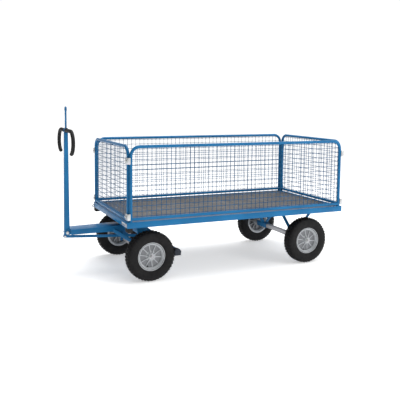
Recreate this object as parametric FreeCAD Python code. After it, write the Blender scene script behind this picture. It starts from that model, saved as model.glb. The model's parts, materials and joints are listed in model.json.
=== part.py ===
import FreeCAD, Part
import math
import os

# Hand platform wagon with turntable steering and four lift-out mesh walls.
# Millimetres, +Z up, floor at z = 0. The drawbar end points to -X.
# The drawing origin is the middle of the platform; every node is moved
# by X_SHIFT on export, so the whole object is centred on the row's origin.

# ---- driving dimensions ----------------------------------------------
LENGTH = 2000.0            # platform, along X
WIDTH = 1000.0             # platform, along Y
RAIL_BOTTOM = 445.0
RAIL_TOP = 492.0
RAIL_FLANGE = 35.0
RAIL_THICK = 3.0
BOARD_THICK = 15.0
MEMBER_WIDTH = 40.0
MEMBER_X = [-892.0, -692.0, -250.0, 134.0, 518.0, 878.0]

WHEEL_RADIUS = 200.0
TYRE_WIDTH = 100.0
RIM_FLANGE_RADIUS = 113.0
BEAD_RADIUS = 101.6        # 8 inch rim
TRACK = 855.0              # between the tyre centres
FRONT_AXLE_X = -792.0
REAR_AXLE_X = 667.0
AXLE_BAR = 36.0
STUB_RADIUS = 12.5
HUB_RADIUS = 26.0
HUB_LENGTH = 75.0
RIM_RIBS = 10
VALVE_ANGLE = 110.0         # about Y, from +X

TURNTABLE_RADIUS = 130.0
TURNTABLE_PLATE = 10.0
SLIDE_RING = 6.0
KING_RADIUS = 12.0
BEAM_WIDTH = 80.0
BEAM_BOTTOM = 340.0
BEAM_HALF_LENGTH = 236.0
CHEEK_THICK = 8.0

TONGUE_WIDTH = 150.0
TONGUE_SHEET = 4.0
TONGUE_TOP_FRONT = 375.0
TONGUE_TOP_REAR = 385.0
TONGUE_LOWER_EDGE = 335.0

PIVOT_X = -1357.0
PIVOT_Z = 345.0
PIVOT_RADIUS = 8.0
FOOT_RADIUS = 21.0
FOOT_HALF_WIDTH = 20.0
POST_DEPTH_LOW = 42.0
POST_WIDTH_LOW = 40.0
POST_TOP_SIZE = 28.0
POST_FOOT_TOP = 372.0
POST_TOP = 1192.0
HORN_Z = 1175.0
HORN_BEND = 90.0
HORN_CENTRE_Y = 172.0
HORN_END_ANGLE = 80.0      # degrees below level
HORN_TUBE_RADIUS = 11.0
GRIP_RADIUS = 15.5
GRIP_START_Y = 26.0
TOW_EYE_Z = 1345.5
TOW_EYE_OUTER = 20.5
TOW_EYE_HOLE = 11.5
TOW_EYE_THICK = 12.0

CRANK_DX = -16.0           # crank pin from its pivot, both ends of the rod
CRANK_DZ = -35.0
CRANK_PIN_RADIUS = 6.0
CHEEK_INNER = 5.0
CHEEK_OUTER = 13.0
BRAKE_X = -562.0
BRAKE_Z = 224.0
SHOE_NOSE_RADIUS = 26.6
BRAKE_TUBE_RADIUS = 12.5
ROD_HEIGHT = 20.0
ROD_HALF_THICK = 4.0
ROD_BEND_X = -700.0
ROD_BEND_Z = 264.0
SHOE_Y = 430.0
SHOE_WIDTH = 50.0

WALL_TUBE = 12.5           # tube radius
WALL_BORE = 10.7
WALL_RAIL_Z = 513.0
WALL_TOP_Z = 1069.5
WALL_BEND = 72.0
SIDE_WALL_Y = 487.5
SIDE_POST_X = 970.0
END_WALL_X = 986.0
END_POST_Y = 466.5
PLUG_RADIUS = 7.0
PLUG_LENGTH = 38.0
MESH_PITCH = 40.0
MESH_WIRE = 4.0

REST_GAP = 0.4             # between faces of different bodies
RUN_GAP = 0.06             # radial, shaft in bore

X_SHIFT = 187.0

# ---- derived ---------------------------------------------------------
HALF_L = LENGTH / 2.0
HALF_W = WIDTH / 2.0
INNER_FLOOR = RAIL_BOTTOM + RAIL_THICK
BOARD_TOP = RAIL_TOP - RAIL_THICK
BOARD_BOTTOM = BOARD_TOP - BOARD_THICK
LOAD_X = 964.0              # half size of the load area
LOAD_Y = 464.0
LOAD_RISE = 0.5
SCREW_Y = [-420.0, -140.0, 140.0, 420.0]
SCREW_RADIUS = 5.0
WHEEL_Y = TRACK / 2.0
AXLE_Z = WHEEL_RADIUS
UPPER_PLATE_Z = INNER_FLOOR - TURNTABLE_PLATE
SLIDE_Z = UPPER_PLATE_Z - 0.3 - SLIDE_RING
LOWER_PLATE_Z = SLIDE_Z - TURNTABLE_PLATE


# ---- helpers ---------------------------------------------------------
def vec(x, y, z):
    return FreeCAD.Vector(x, y, z)


def box(x0, x1, y0, y1, z0, z1):
    return Part.makeBox(x1 - x0, y1 - y0, z1 - z0, vec(x0, y0, z0))


def rod_y(x, z, y0, y1, r):
    return Part.makeCylinder(r, y1 - y0, vec(x, y0, z), vec(0, 1, 0))


def rod_z(x, y, z0, z1, r):
    return Part.makeCylinder(r, z1 - z0, vec(x, y, z0), vec(0, 0, 1))


def rod_x(y, z, x0, x1, r):
    return Part.makeCylinder(r, x1 - x0, vec(x0, y, z), vec(1, 0, 0))


def plate_xz(points, y0, y1):
    corners = [vec(x, y0, z) for x, z in points]
    face = Part.Face(Part.makePolygon(corners + corners[:1]))
    return face.extrude(vec(0, y1 - y0, 0))


def plate_xy(points, z0, z1):
    corners = [vec(x, y, z0) for x, y in points]
    face = Part.Face(Part.makePolygon(corners + corners[:1]))
    return face.extrude(vec(0, 0, z1 - z0))


def hexagon(axis, centre, across, length):
    r = across / math.sqrt(3.0)
    points = []
    for k in range(7):
        a = math.radians(60.0 * k)
        u = r * math.cos(a)
        v = r * math.sin(a)
        if axis == "x":
            points.append(centre + vec(0, u, v))
        elif axis == "y":
            points.append(centre + vec(u, 0, v))
        else:
            points.append(centre + vec(u, v, 0))
    step = {"x": vec(length, 0, 0), "y": vec(0, length, 0), "z": vec(0, 0, length)}[axis]
    return Part.Face(Part.makePolygon(points)).extrude(step)


def mirror_y(shape):
    return shape.mirror(vec(0, 0, 0), vec(0, 1, 0))


def mirror_x(shape):
    return shape.mirror(vec(0, 0, 0), vec(1, 0, 0))


def turned_round(shape):
    # half a turn about the platform's middle
    copy = shape.copy()
    copy.rotate(vec(0, 0, 0), vec(0, 0, 1), 180.0)
    return copy


def both_sides(shape):
    return [shape, mirror_y(shape)]


def group(shapes):
    return Part.makeCompound(shapes)


def fuse(shapes):
    result = shapes[0]
    for shape in shapes[1:]:
        result = result.fuse(shape)
    return result.removeSplitter()


# ---- platform --------------------------------------------------------
def side_rail():
    y1 = -HALF_W
    web = box(-HALF_L, HALF_L, y1, y1 + RAIL_THICK, RAIL_BOTTOM, RAIL_TOP)
    top = box(-HALF_L, HALF_L, y1, y1 + RAIL_FLANGE, BOARD_TOP, RAIL_TOP)
    foot = box(-HALF_L, HALF_L, y1, y1 + RAIL_FLANGE, RAIL_BOTTOM, INNER_FLOOR)
    f = RAIL_FLANGE
    mitre = [(-HALF_L, y1), (HALF_L, y1), (HALF_L - f, y1 + f), (-HALF_L + f, y1 + f)]
    rail = fuse([web, top, foot]).common(plate_xy(mitre, RAIL_BOTTOM, RAIL_TOP))
    for x in (-SIDE_POST_X, SIDE_POST_X):
        rail = rail.cut(rod_z(x, -SIDE_WALL_Y, BOARD_TOP - 1, RAIL_TOP + 1, PLUG_RADIUS + 0.5))
    return rail


def end_rail():
    x1 = -HALF_L
    web = box(x1, x1 + RAIL_THICK, -HALF_W, HALF_W, RAIL_BOTTOM, RAIL_TOP)
    top = box(x1, x1 + RAIL_FLANGE, -HALF_W, HALF_W, BOARD_TOP, RAIL_TOP)
    foot = box(x1, x1 + RAIL_FLANGE, -HALF_W, HALF_W, RAIL_BOTTOM, INNER_FLOOR)
    f = RAIL_FLANGE
    mitre = [(x1, -HALF_W), (x1, HALF_W), (x1 + f, HALF_W - f), (x1 + f, -HALF_W + f)]
    rail = fuse([web, top, foot]).common(plate_xy(mitre, RAIL_BOTTOM, RAIL_TOP))
    for y in (-END_POST_Y, END_POST_Y):
        rail = rail.cut(rod_z(-END_WALL_X, y, BOARD_TOP - 1, RAIL_TOP + 1, PLUG_RADIUS + 0.5))
    return rail


def cross_members():
    half = MEMBER_WIDTH / 2.0
    end = 476.0
    result = []
    for x in MEMBER_X:
        outer = box(x - half, x + half, -end, end, INNER_FLOOR, BOARD_BOTTOM)
        bore = box(x - half + 3, x + half - 3, -end, end, INNER_FLOOR, BOARD_BOTTOM - 3)
        result.append(outer.cut(bore))
    return group(result)


def deck_board():
    inset = RAIL_THICK + 0.5
    board = box(-HALF_L + inset, HALF_L - inset, -HALF_W + inset, HALF_W - inset, BOARD_BOTTOM, BOARD_TOP)
    for sx in (-1, 1):
        for sy in (-1, 1):
            x = sorted((sx * 957.0, sx * (HALF_L + 1)))
            y = sorted((sy * 454.0, sy * (HALF_W + 1)))
            board = board.cut(box(x[0], x[1], y[0], y[1], BOARD_BOTTOM - 1, BOARD_TOP + 1))
    # the anti-slip face inside the walls stands a little proud
    load = box(-LOAD_X, LOAD_X, -LOAD_Y, LOAD_Y, BOARD_TOP - 1, BOARD_TOP + LOAD_RISE)
    board = board.fuse(load)
    for x in MEMBER_X:
        for y in SCREW_Y:
            board = board.cut(rod_z(x, y, BOARD_TOP - 2.0, BOARD_TOP + 1, SCREW_RADIUS))
    return board.removeSplitter()


def deck_screws():
    result = []
    for x in MEMBER_X:
        for y in SCREW_Y:
            head = rod_z(x, y, BOARD_TOP - 2.0, BOARD_TOP + LOAD_RISE - 0.2, SCREW_RADIUS)
            result.append(head)
    return group(result)


def wall_sockets():
    result = []
    places = []
    for sx in (-1, 1):
        for sy in (-1, 1):
            places.append((sx * SIDE_POST_X, sy * SIDE_WALL_Y))
            places.append((sx * END_WALL_X, sy * END_POST_Y))
    for x, y in places:
        outer = rod_z(x, y, INNER_FLOOR, BOARD_TOP, 9.4)
        result.append(outer.cut(rod_z(x, y, INNER_FLOOR, BOARD_TOP, PLUG_RADIUS + 0.5)))
    return group(result)


def corner_buffers():
    pad = box(-HALF_L + 1, -957.0, -HALF_W + 3, -436.0, 410.0, RAIL_BOTTOM)
    lower = [e for e in pad.Edges if e.BoundBox.ZMax < 410.1]
    pad = pad.makeFillet(5.0, lower)
    return group(both_sides(pad))


def data_plate():
    # blank plate and its two rivets
    result = [box(-HALF_L - 2.0, -HALF_L, -479.0, -357.0, 450.0, 476.0)]
    for y in (-472.0, -364.0):
        ball = Part.makeSphere(4.5, vec(-HALF_L + 1.0, y, 463.0))
        result.append(ball.common(box(-HALF_L - 6, -HALF_L - 2, y - 6, y + 6, 457, 469)))
    return group(result)


def lashing_eye():
    x = -HALF_L - 8.5
    z = 458.5
    body = rod_y(x, z, 476.0, 482.0, 13.0)
    body = body.fuse(box(x, -HALF_L, 476.0, 482.0, z - 13.0, z + 13.0))
    body = body.cut(box(-HALF_L, -HALF_L + 20, 470.0, 490.0, z - 20, z + 20))
    return body.cut(rod_y(x, z, 475.0, 483.0, 7.0)).removeSplitter()


def turntable_upper():
    plate = rod_z(FRONT_AXLE_X, 0, UPPER_PLATE_Z, INNER_FLOOR, TURNTABLE_RADIUS)
    return plate.cut(rod_z(FRONT_AXLE_X, 0, UPPER_PLATE_Z, INNER_FLOOR, KING_RADIUS))


def king_bolt():
    head = hexagon("z", vec(FRONT_AXLE_X, 0, INNER_FLOOR), 36.0, 15.0)
    shank = rod_z(FRONT_AXLE_X, 0, BEAM_BOTTOM - 20.0, INNER_FLOOR, KING_RADIUS)
    nut = hexagon("z", vec(FRONT_AXLE_X, 0, BEAM_BOTTOM - 18.5), 36.0, 18.0)
    return fuse([head, shank, nut])


def axle(x):
    half = AXLE_BAR / 2.0
    bar = box(x - half, x + half, -370.0, 370.0, AXLE_Z - half, AXLE_Z + half)
    stub = rod_y(x, AXLE_Z, -484.0, 484.0, STUB_RADIUS)
    collar_a = rod_y(x, AXLE_Z, 370.0, 388.5, 19.0)
    collar_b = rod_y(x, AXLE_Z, -388.5, -370.0, 19.0)
    return fuse([bar, stub, collar_a, collar_b])


def axle_nuts(x):
    start = WHEEL_Y + HUB_LENGTH / 2.0 + 1.0
    washer = rod_y(x, AXLE_Z, start, start + 2.5, 18.0)
    nut = fuse([washer, hexagon("y", vec(x, start + 2.5, AXLE_Z), 27.0, 11.0)])
    return group(both_sides(nut.cut(rod_y(x, AXLE_Z, start - 1, start + 20, STUB_RADIUS))))


def rear_axle_sleeves():
    half = AXLE_BAR / 2.0
    x = REAR_AXLE_X
    outer = box(x - half - 5, x + half + 5, 200.0, 368.0, AXLE_Z - half - 5, AXLE_Z + half + 5)
    bore = box(x - half, x + half, 199.0, 369.0, AXLE_Z - half, AXLE_Z + half)
    return group(both_sides(outer.cut(bore)))


def rear_struts():
    low = AXLE_Z + AXLE_BAR / 2.0 + 5.0
    result = []
    for bottom, top in ((REAR_AXLE_X - 17, REAR_AXLE_X - 149), (REAR_AXLE_X + 17, REAR_AXLE_X + 211)):
        shape = [(bottom - 16, low), (bottom + 16, low), (top + 16, INNER_FLOOR), (top - 16, INNER_FLOOR)]
        result.extend(both_sides(plate_xz(shape, 250.0, 258.0)))
    return group(result)


# ---- steering bogie --------------------------------------------------
def slide_ring():
    ring = rod_z(FRONT_AXLE_X, 0, SLIDE_Z, SLIDE_Z + SLIDE_RING, TURNTABLE_RADIUS - 5)
    return ring.cut(rod_z(FRONT_AXLE_X, 0, SLIDE_Z, SLIDE_Z + SLIDE_RING, TURNTABLE_RADIUS - 55))


def turntable_lower():
    plate = rod_z(FRONT_AXLE_X, 0, LOWER_PLATE_Z, SLIDE_Z, TURNTABLE_RADIUS)
    return plate.cut(rod_z(FRONT_AXLE_X, 0, LOWER_PLATE_Z, SLIDE_Z, KING_RADIUS + RUN_GAP))


def bogie_beam():
    half = BEAM_WIDTH / 2.0
    x = FRONT_AXLE_X
    end = BEAM_HALF_LENGTH
    outer = box(x - half, x + half, -end, end, BEAM_BOTTOM, LOWER_PLATE_Z)
    inner = box(x - half + 5, x + half - 5, -end, end, BEAM_BOTTOM + 5, LOWER_PLATE_Z - 5)
    beam = outer.cut(inner)
    return beam.cut(rod_z(x, 0, BEAM_BOTTOM - 1, LOWER_PLATE_Z + 1, KING_RADIUS + RUN_GAP))


def bogie_cheeks():
    x = FRONT_AXLE_X
    low = AXLE_Z - AXLE_BAR / 2.0 - 6.0
    points = [(x - 34, low), (x + 34, low), (x + 46, LOWER_PLATE_Z), (x - 46, LOWER_PLATE_Z)]
    plate = plate_xz(points, BEAM_HALF_LENGTH, BEAM_HALF_LENGTH + CHEEK_THICK)
    half = AXLE_BAR / 2.0
    hole = box(x - half, x + half, 200.0, 300.0, AXLE_Z - half, AXLE_Z + half)
    return group(both_sides(plate.cut(hole)))


def tongue():
    front = PIVOT_X + FOOT_RADIUS + REST_GAP
    rear = FRONT_AXLE_X - BEAM_WIDTH / 2.0
    mid = -960.0
    t = TONGUE_SHEET
    half = TONGUE_WIDTH / 2.0
    low = TONGUE_LOWER_EDGE
    top = TONGUE_TOP_FRONT
    skin = [(front, top), (mid, 383.0), (rear, TONGUE_TOP_REAR), (rear, low), (front, low)]
    roof = [(front - 1, top - t), (mid, 383.0 - t), (rear, TONGUE_TOP_REAR - t)]
    hollow = roof + [(rear, low - 1), (front - 1, low - 1)]
    body = plate_xz(skin, -half, half).cut(plate_xz(hollow, -half + t, half - t))
    ears = []
    for y in (-28.5, 20.5):
        ear = rod_y(PIVOT_X, PIVOT_Z, y, y + 8.0, 22.0)
        upper = [(PIVOT_X, 366.9), (front, top - 1), (front + 90, top)]
        strap = plate_xz([(PIVOT_X, 326.0)] + upper + [(front + 90, low)], y, y + 8.0)
        ears.append(ear.fuse(strap))
    result = fuse([body] + ears)
    return result.cut(rod_y(PIVOT_X, PIVOT_Z, -60.0, 60.0, PIVOT_RADIUS))


def bogie_braces(neighbours):
    start = vec(-812.0, 240.0, 236.0)
    stop = vec(-1000.0, 60.0, 354.0)
    line = stop - start
    length = line.Length
    bar = Part.makeBox(length, 8.0, 30.0, vec(0, -4.0, -15.0))
    heading = math.degrees(math.atan2(line.y, line.x))
    climb = math.degrees(math.asin(line.z / length))
    bar.rotate(vec(0, 0, 0), vec(0, 1, 0), -climb)
    bar.rotate(vec(0, 0, 0), vec(0, 0, 1), heading)
    bar.translate(start)
    for shape in neighbours:
        bar = bar.cut(shape)
    pieces = sorted(bar.Solids, key=lambda s: s.Volume)
    return group(both_sides(pieces[-1]))


def pivot_bolt():
    shank = rod_y(PIVOT_X, PIVOT_Z, -32.0, 42.0, PIVOT_RADIUS)
    head = hexagon("y", vec(PIVOT_X, -38.5, PIVOT_Z), 24.0, 10.0)
    nut = hexagon("y", vec(PIVOT_X, 28.5, PIVOT_Z), 24.0, 11.0)
    return fuse([shank, head, nut])


def brake_brackets():
    back = FRONT_AXLE_X + BEAM_WIDTH / 2.0
    x = BRAKE_X
    z = BRAKE_Z
    upper = [(back, 392.0), (back, 348.0), (x - 22, z + 6), (x - 14, z - 18)]
    points = upper + [(x + 14, z - 18), (x + 18, z + 6), (x + 2, z + 24)]
    plate = plate_xz(points, 180.0, 188.0)
    plate = plate.cut(rod_y(BRAKE_X, BRAKE_Z, 170.0, 200.0, BRAKE_TUBE_RADIUS + RUN_GAP))
    return group(both_sides(plate))


# ---- brake -----------------------------------------------------------
def link(x0, z0, r0, x1, z1, r1, y0, y1):
    # flat link with round ends of different radius
    dx = x1 - x0
    dz = z1 - z0
    d = math.hypot(dx, dz)
    base = math.atan2(dz, dx)
    spread = math.acos((r0 - r1) / d)
    points = []
    for x, z, r, sign in ((x0, z0, r0, 1), (x1, z1, r1, 1), (x1, z1, r1, -1), (x0, z0, r0, -1)):
        a = base + sign * spread
        points.append((x + r * math.cos(a), z + r * math.sin(a)))
    return fuse([plate_xz(points, y0, y1), rod_y(x0, z0, y0, y1, r0), rod_y(x1, z1, y0, y1, r1)])


def crank_cheeks(x, z, root_radius, bore):
    cheeks = []
    for y in (-CHEEK_OUTER, CHEEK_INNER):
        y1 = y + CHEEK_OUTER - CHEEK_INNER
        part = link(x, z, root_radius, x + CRANK_DX, z + CRANK_DZ, 12.0, y, y1)
        cheeks.append(part.cut(rod_y(x + CRANK_DX, z + CRANK_DZ, y - 1, y1 + 1, bore)))
    return cheeks


def brake_shaft():
    parts = crank_cheeks(BRAKE_X, BRAKE_Z, 17.0, CRANK_PIN_RADIUS)
    pin = rod_y(BRAKE_X + CRANK_DX, BRAKE_Z + CRANK_DZ, -17.0, 17.0, CRANK_PIN_RADIUS)
    end = SHOE_Y + 14.0
    for y0, y1 in ((-end, -CHEEK_INNER), (CHEEK_INNER, end)):
        parts.append(rod_y(BRAKE_X, BRAKE_Z, y0, y1, BRAKE_TUBE_RADIUS))
    return fuse(parts + [pin])


def brake_shoes():
    # blocks bored for the shaft, hollowed to the tyre; the upper front corner
    # is rounded about the shaft, so that it passes the tyre as the shoe lets go
    x = BRAKE_X
    z = BRAKE_Z
    crest = [(x - 50, z + 12), (x - 30, z + 16), (x + 14, z + 12)]
    points = crest + [(x + 28, z - 6), (x + 24, z - 40), (x - 50, z - 40)]
    y0 = SHOE_Y - SHOE_WIDTH / 2.0
    block = plate_xz(points, y0, y0 + SHOE_WIDTH)
    wheel = rod_y(FRONT_AXLE_X, AXLE_Z, y0 - 1, y0 + SHOE_WIDTH + 1, WHEEL_RADIUS + REST_GAP)
    shaft = rod_y(x, z, y0 - 1, SHOE_Y + 14.0, BRAKE_TUBE_RADIUS)
    corner = box(x - 60, x, y0 - 1, y0 + SHOE_WIDTH + 1, z - 2, z + 30)
    corner = corner.cut(rod_y(x, z, y0 - 2, y0 + SHOE_WIDTH + 2, SHOE_NOSE_RADIUS))
    return group(both_sides(block.cut(wheel).cut(corner).cut(shaft)))


def brake_rod():
    x0 = PIVOT_X + CRANK_DX
    z0 = PIVOT_Z + CRANK_DZ
    x1 = BRAKE_X + CRANK_DX
    z1 = BRAKE_Z + CRANK_DZ
    h = ROD_HALF_THICK
    r = ROD_HEIGHT / 2.0 + 1
    bar = link(x0, z0, r, ROD_BEND_X, ROD_BEND_Z, r, -h, h)
    bar = bar.fuse(link(ROD_BEND_X, ROD_BEND_Z, r, x1, z1, r, -h, h)).removeSplitter()
    bar = bar.cut(rod_y(x0, z0, -h - 1, h + 1, CRANK_PIN_RADIUS))
    return bar.cut(rod_y(x1, z1, -h - 1, h + 1, CRANK_PIN_RADIUS + 0.35))


def rod_pin():
    x = PIVOT_X + CRANK_DX
    z = PIVOT_Z + CRANK_DZ
    edge = CHEEK_OUTER + REST_GAP
    pin = rod_y(x, z, -edge, edge, CRANK_PIN_RADIUS)
    head = rod_y(x, z, -edge - 3.5, -edge, 9.0)
    clip = rod_y(x, z, edge, edge + 3.5, 9.0)
    return fuse([pin, head, clip])


# ---- drawbar ---------------------------------------------------------
def rectangle(z, depth, width):
    a = depth / 2.0
    b = width / 2.0
    front = [vec(PIVOT_X - a, -b, z), vec(PIVOT_X + a, -b, z)]
    corners = front + [vec(PIVOT_X + a, b, z), vec(PIVOT_X - a, b, z)]
    return Part.makePolygon(corners + corners[:1])


def drawbar_post():
    w = FOOT_HALF_WIDTH
    outer = Part.makeLoft([rectangle(POST_FOOT_TOP, POST_DEPTH_LOW, POST_WIDTH_LOW),
                           rectangle(POST_TOP, POST_TOP_SIZE, POST_TOP_SIZE)], True, True)
    inner = Part.makeLoft([rectangle(POST_FOOT_TOP + 10, POST_DEPTH_LOW - 6.2, POST_WIDTH_LOW - 6.2),
                           rectangle(HORN_Z - 20, POST_TOP_SIZE - 6, POST_TOP_SIZE - 6)], True, True)
    foot = rod_y(PIVOT_X, PIVOT_Z, -w, w, FOOT_RADIUS)
    foot = foot.fuse(box(PIVOT_X - FOOT_RADIUS, PIVOT_X + FOOT_RADIUS, -w, w, PIVOT_Z, POST_FOOT_TOP))
    cheeks = crank_cheeks(PIVOT_X, PIVOT_Z, 18.0, CRANK_PIN_RADIUS + RUN_GAP)
    post = fuse([outer, foot] + cheeks).cut(inner)
    post = post.cut(rod_y(PIVOT_X, PIVOT_Z, -w - 1, w + 1, PIVOT_RADIUS + RUN_GAP))
    return post.cut(rod_y(PIVOT_X, HORN_Z, -40.0, 40.0, HORN_TUBE_RADIUS))


def horn_arc(side, radius, first, last):
    # part of a torus; angles are from the top of the bend, towards the outside
    ring = Part.makeTorus(HORN_BEND, radius, vec(0, 0, 0), vec(0, 0, 1), -180, 180, last - first)
    ring.rotate(vec(0, 0, 0), vec(0, 0, 1), 90.0 - last)
    ring.rotate(vec(0, 0, 0), vec(1, 0, 0), 90.0)
    ring.rotate(vec(0, 0, 0), vec(0, 0, 1), 90.0)
    ring.translate(vec(PIVOT_X, HORN_CENTRE_Y, HORN_Z - HORN_BEND))
    return ring if side > 0 else mirror_y(ring)


def horn_tube():
    bar = rod_y(PIVOT_X, HORN_Z, -HORN_CENTRE_Y, HORN_CENTRE_Y, HORN_TUBE_RADIUS)
    last = 90.0 + HORN_END_ANGLE - 4.0
    return fuse([bar, horn_arc(1, HORN_TUBE_RADIUS, 0.0, last), horn_arc(-1, HORN_TUBE_RADIUS, 0.0, last)])


def horn_sweep(side, radius, start, last):
    # round bar along the horn, from the straight part into the bend
    a = math.radians(last / 2.0)
    b = math.radians(last)
    low = HORN_Z - HORN_BEND

    def at(angle):
        y = HORN_CENTRE_Y + HORN_BEND * math.sin(angle)
        return vec(PIVOT_X, side * y, low + HORN_BEND * math.cos(angle))
    first = vec(PIVOT_X, side * start, HORN_Z)
    edges = [Part.makeLine(first, at(0.0)), Part.Arc(at(0.0), at(a), at(b)).toShape()]
    circle = Part.Wire(Part.makeCircle(radius, first, vec(0, 1, 0)))
    return Part.Wire(edges).makePipeShell([circle], True, True)


def grip(side):
    last = 90.0 + HORN_END_ANGLE
    outer = horn_sweep(side, GRIP_RADIUS, GRIP_START_Y, last)
    return outer.cut(horn_sweep(side, HORN_TUBE_RADIUS, GRIP_START_Y - 5.0, last - 4.0))


def tow_eye():
    t = TOW_EYE_THICK / 2.0
    ring = rod_x(0, TOW_EYE_Z, PIVOT_X - t, PIVOT_X + t, TOW_EYE_OUTER)
    shank = box(PIVOT_X - t, PIVOT_X + t, -11.0, 11.0, POST_TOP, TOW_EYE_Z)
    body = fuse([ring, shank])
    return body.cut(rod_x(0, TOW_EYE_Z, PIVOT_X - t - 1, PIVOT_X + t + 1, TOW_EYE_HOLE))


# ---- wheels ----------------------------------------------------------
def revolve_wheel(points):
    # points are (distance from the axle, offset outwards from the wheel's centre)
    corners = [vec(r, y, 0) for r, y in points]
    face = Part.Face(Part.makePolygon(corners + corners[:1]))
    return face.revolve(vec(0, 0, 0), vec(0, 1, 0), 360)


def tyre_half(side):
    outer = [(BEAD_RADIUS, 36), (113.6, 36), (122, 43), (138, 48.5), (156, 50), (172, 48.5)]
    outer = outer + [(184, 44.5), (193, 39), (198, 30), (200, 16), (200, 0)]
    inner = [(191, 0), (190, 24), (180, 36), (160, 42), (138, 40.5), (120, 35), (112, 28)]
    inner = inner + [(BEAD_RADIUS, 26)]
    return [(r, side * y) for r, y in outer], [(r, side * y) for r, y in inner]


def tyre():
    out_a, in_a = tyre_half(1)
    out_b, in_b = tyre_half(-1)
    points = out_a[:-1] + out_b[:-1][::-1] + in_b[1:][::-1] + in_a[1:]
    body = revolve_wheel(points)
    stem = Part.makeCylinder(4.0, 16.0, vec(84.0, 14.0, 0), vec(0, 1, 0))
    stem.rotate(vec(0, 0, 0), vec(0, 1, 0), VALVE_ANGLE)
    return group([body, stem])


def rim():
    flange = RIM_FLANGE_RADIUS
    bead = BEAD_RADIUS
    over = [(flange, 40), (flange, 36), (bead, 36), (bead, 26), (93, 20), (93, -20)]
    over = over + [(bead, -26), (bead, -36), (flange, -36), (flange, -40)]
    under = [(98.6, -39), (98.6, -27), (90, -21), (90, 21), (98.6, 27), (98.6, 39)]
    disc = [(HUB_RADIUS - 1, 16), (40, 18), (91, 13), (91, 9), (40, 14), (HUB_RADIUS - 1, 12)]
    half = HUB_LENGTH / 2.0
    hub = [(20.0, half), (HUB_RADIUS, half), (HUB_RADIUS, -half), (20.0, -half)]
    parts = [revolve_wheel(over + under), revolve_wheel(disc), revolve_wheel(hub)]
    for k in range(RIM_RIBS):
        corners = [vec(24, 16, -2), vec(90.5, 12, -2), vec(90.5, 19, -2), vec(24, 30, -2)]
        rib = Part.Face(Part.makePolygon(corners + corners[:1])).extrude(vec(0, 0, 4))
        rib.rotate(vec(0, 0, 0), vec(0, 1, 0), 360.0 * k / RIM_RIBS)
        parts.append(rib)
    body = fuse(parts)
    hole = Part.makeCylinder(4.0, 40.0, vec(84.0, -5.0, 0), vec(0, 1, 0))
    hole.rotate(vec(0, 0, 0), vec(0, 1, 0), VALVE_ANGLE)
    return body.cut(hole)


def bearings():
    half = HUB_LENGTH / 2.0
    result = []
    for y0 in (-half, half - 18.0):
        outer = Part.makeCylinder(20.0, 18.0, vec(0, y0, 0), vec(0, 1, 0))
        result.append(outer.cut(Part.makeCylinder(STUB_RADIUS + RUN_GAP, 18.0, vec(0, y0, 0), vec(0, 1, 0))))
    return group(result)


def at_wheel(shape, x, side):
    placed = shape.copy()
    if side < 0:
        placed = mirror_y(placed)
    placed.translate(vec(x, side * WHEEL_Y, AXLE_Z))
    return placed


# ---- mesh walls ------------------------------------------------------
def arch(half, plane, radius, swap):
    # inverted U: post, bend, top rail, bend, post; centreline swept by a circle
    r = WALL_BEND
    c = math.cos(math.radians(45.0)) * r
    base = RAIL_TOP + REST_GAP
    top = WALL_TOP_Z

    def at(s, z):
        return vec(plane, s, z) if swap else vec(s, plane, z)
    low_a = at(-half, base)
    end_a = at(-half, top - r)
    mid_a = at(-half + r - c, top - r + c)
    out_a = at(-half + r, top)
    in_b = at(half - r, top)
    mid_b = at(half - r + c, top - r + c)
    end_b = at(half, top - r)
    low_b = at(half, base)
    edges = [Part.makeLine(low_a, end_a), Part.Arc(end_a, mid_a, out_a).toShape(), Part.makeLine(out_a, in_b),
             Part.Arc(in_b, mid_b, end_b).toShape(), Part.makeLine(end_b, low_b)]
    path = Part.Wire(edges)
    circle = Part.Wire(Part.makeCircle(radius, low_a, vec(0, 0, 1)))
    return path.makePipeShell([circle], True, True)


def wall_frame(half, plane, swap):
    z = WALL_RAIL_Z
    if swap:
        rail = rod_y(plane, z, -half, half, WALL_TUBE)
        bore = rod_y(plane, z, -half, half, WALL_BORE)
    else:
        rail = rod_x(plane, z, -half, half, WALL_TUBE)
        bore = rod_x(plane, z, -half, half, WALL_BORE)
    outer = arch(half, plane, WALL_TUBE, swap).fuse(rail)
    frame = outer.cut(arch(half, plane, WALL_BORE, swap)).cut(bore)
    for s in (-half, half):
        x, y = (plane, s) if swap else (s, plane)
        cap = rod_z(x, y, RAIL_TOP + REST_GAP, RAIL_TOP + REST_GAP + 4.0, WALL_BORE + 0.5)
        plug = rod_z(x, y, RAIL_TOP - PLUG_LENGTH, RAIL_TOP + REST_GAP + 4.0, PLUG_RADIUS)
        frame = frame.fuse(cap).fuse(plug)
    return frame


def arched_outline(edge, low, top, r):
    # rectangle with rounded upper corners, anticlockwise in (s, z)
    points = [(-edge, low), (edge, low)]
    for k in range(13):
        a = math.radians(7.5 * k)
        points.append((edge - r + r * math.cos(a), top - r + r * math.sin(a)))
    for k in range(13):
        a = math.radians(90.0 + 7.5 * k)
        points.append((-edge + r + r * math.cos(a), top - r + r * math.sin(a)))
    return points


def clipped(cell, outline):
    # the part of a convex cell that lies inside a convex outline
    result = cell
    for k in range(len(outline)):
        ax, az = outline[k - 1]
        bx, bz = outline[k]
        kept = []
        for i in range(len(result)):
            px, pz = result[i - 1]
            qx, qz = result[i]
            p_in = (bx - ax) * (pz - az) - (bz - az) * (px - ax)
            q_in = (bx - ax) * (qz - az) - (bz - az) * (qx - ax)
            if p_in * q_in < 0:
                f = p_in / (p_in - q_in)
                kept.append((px + f * (qx - px), pz + f * (qz - pz)))
            if q_in >= 0:
                kept.append((qx, qz))
        result = kept
    return result


def area(points):
    total = 0.0
    for i in range(len(points)):
        total += points[i - 1][0] * points[i][1] - points[i][0] * points[i - 1][1]
    return total / 2.0


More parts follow.
